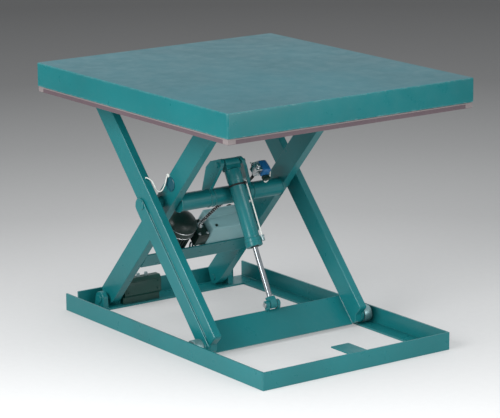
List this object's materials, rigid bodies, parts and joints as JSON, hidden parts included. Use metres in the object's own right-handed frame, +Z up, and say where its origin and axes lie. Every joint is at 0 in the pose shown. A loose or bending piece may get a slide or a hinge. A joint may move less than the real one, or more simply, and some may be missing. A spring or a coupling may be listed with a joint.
{
  "type": "scissor lift table",
  "caption": "Low electro-hydraulic scissor lift table with a skirted platform, crossed legs, a sloping cylinder and an open base frame",
  "frame": {"origin": "centre of the base frame on the floor", "axes": "X along the table toward the roller end, Y across it, Z up; raised position"},
  "size_m": [1.4388, 1.1934, 1.092],
  "materials": {
    "green_paint": "blue-green semi-gloss paint on steel",
    "tank_paint": "lighter grey-green paint",
    "bare_steel": "bright plated steel",
    "chrome_rod": "hard chrome plating",
    "roller_steel": "machined steel",
    "black_castings": "black enamel",
    "black_plastic": "moulded enclosure",
    "blue_plastic": "moulded coil housing",
    "grey_guard": "mauve-grey coating",
    "white_cable": "white sheath",
    "black_rubber": "hydraulic hose cover"
  },
  "bodies": {
    "base_frame": {"base_rail_left": "green_paint", "base_rail_right": "green_paint", "base_rail_rear": "green_paint", "base_rail_front": "green_paint", "base_front_tab": "green_paint", "base_pivot_bracket_left": "green_paint", "base_pivot_bracket_right": "green_paint", "base_pivot_pin_left": "bare_steel", "base_pivot_pin_right": "bare_steel", "control_box": "black_plastic"},
    "inner_legs": {"inner_leg_left": "green_paint", "inner_leg_right": "green_paint", "torque_tube": "green_paint", "cylinder_lug_left": "green_paint", "cylinder_lug_right": "green_paint", "cylinder_top_pin": "bare_steel", "deck_roller_axle_left": "bare_steel", "deck_roller_axle_right": "bare_steel", "power_unit_bar": "green_paint", "oil_reservoir": "tank_paint", "pump_block": "black_castings", "pump_motor": "black_castings", "valve_block": "bare_steel", "solenoid_coil": "blue_plastic", "hydraulic_hose": "black_rubber"},
    "outer_legs": {"outer_leg_left": "green_paint", "outer_leg_right": "green_paint", "leg_stiffener_left": "green_paint", "leg_stiffener_right": "green_paint", "centre_pin_left": "bare_steel", "centre_pin_right": "bare_steel", "base_roller_axle_left": "green_paint", "base_roller_axle_right": "green_paint", "front_cross_plate": "green_paint", "rod_ear_left": "green_paint", "rod_ear_right": "green_paint", "rod_pin": "bare_steel", "leg_cable": "white_cable"},
    "platform": {"deck_plate": "green_paint", "skirt_left": "green_paint", "skirt_right": "green_paint", "skirt_rear": "green_paint", "skirt_front": "green_paint", "roller_track_left": "green_paint", "roller_track_right": "green_paint", "pivot_beam": "green_paint", "platform_pin_left": "bare_steel", "platform_pin_right": "bare_steel"},
    "guard_frame": {"toe_guard": "grey_guard"},
    "cylinder": {"cylinder_barrel": "green_paint", "cylinder_gland": "green_paint", "cylinder_knuckle": "green_paint", "cylinder_side_line": "white_cable"},
    "ram": {"cylinder_rod": "chrome_rod", "rod_end": "green_paint"},
    "base_wheel_left": {"base_roller_left": "roller_steel"},
    "base_wheel_right": {"base_roller_right": "roller_steel"},
    "deck_wheel_left": {"deck_roller_left": "roller_steel"},
    "deck_wheel_right": {"deck_roller_right": "roller_steel"}
  },
  "joints": [
    {"name": "lift_hinge", "type": "hinge", "parent": "base_frame", "child": "inner_legs", "pos_m": [-0.652, 0, 0.043], "axis": [0, -1, 0], "range_deg": [-44.68, 0]},
    {"name": "scissor_hinge", "type": "hinge", "parent": "inner_legs", "child": "outer_legs", "pos_m": [-0.22245, 0, 0.543], "axis": [0, -1, 0], "range_deg": [0, 89.36], "deforming": ["leg_cable"]},
    {"name": "platform_hinge", "type": "hinge", "parent": "outer_legs", "child": "platform", "pos_m": [-0.652, 0, 1.043], "axis": [0, -1, 0], "range_deg": [-44.68, 0]},
    {"name": "toe_guard_slide", "type": "slide", "parent": "platform", "child": "guard_frame", "axis": [0, 0, 1], "range_m": [0, 0.01]},
    {"name": "cylinder_hinge", "type": "hinge", "parent": "inner_legs", "child": "cylinder", "pos_m": [-0.148, 0, 0.68], "axis": [0, -1, 0], "range_deg": [0, 95.52]},
    {"name": "ram_slide", "type": "slide", "parent": "cylinder", "child": "ram", "axis": [0.4706, 0, -0.8824], "range_m": [-0.21274, 0]},
    {"name": "base_wheel_left_spin", "type": "hinge", "parent": "outer_legs", "child": "base_wheel_left", "pos_m": [0.2071, -0.424, 0.043], "axis": [0, 1, 0], "continuous": true},
    {"name": "base_wheel_right_spin", "type": "hinge", "parent": "outer_legs", "child": "base_wheel_right", "pos_m": [0.2071, 0.424, 0.043], "axis": [0, 1, 0], "continuous": true},
    {"name": "deck_wheel_left_spin", "type": "hinge", "parent": "inner_legs", "child": "deck_wheel_left", "pos_m": [0.2071, -0.319, 1.043], "axis": [0, 1, 0], "continuous": true},
    {"name": "deck_wheel_right_spin", "type": "hinge", "parent": "inner_legs", "child": "deck_wheel_right", "pos_m": [0.2071, 0.319, 1.043], "axis": [0, 1, 0], "continuous": true}
  ],
  "couplings": [
    {"joint": "scissor_hinge", "follows": "lift_hinge", "ratio": -2},
    {"joint": "platform_hinge", "follows": "lift_hinge", "ratio": 1},
    {"joint": "cylinder_hinge", "follows": "lift_hinge", "ratio": -2.1379},
    {"joint": "ram_slide", "follows": "lift_hinge", "m_per_rad": 0.27281}
  ]
}
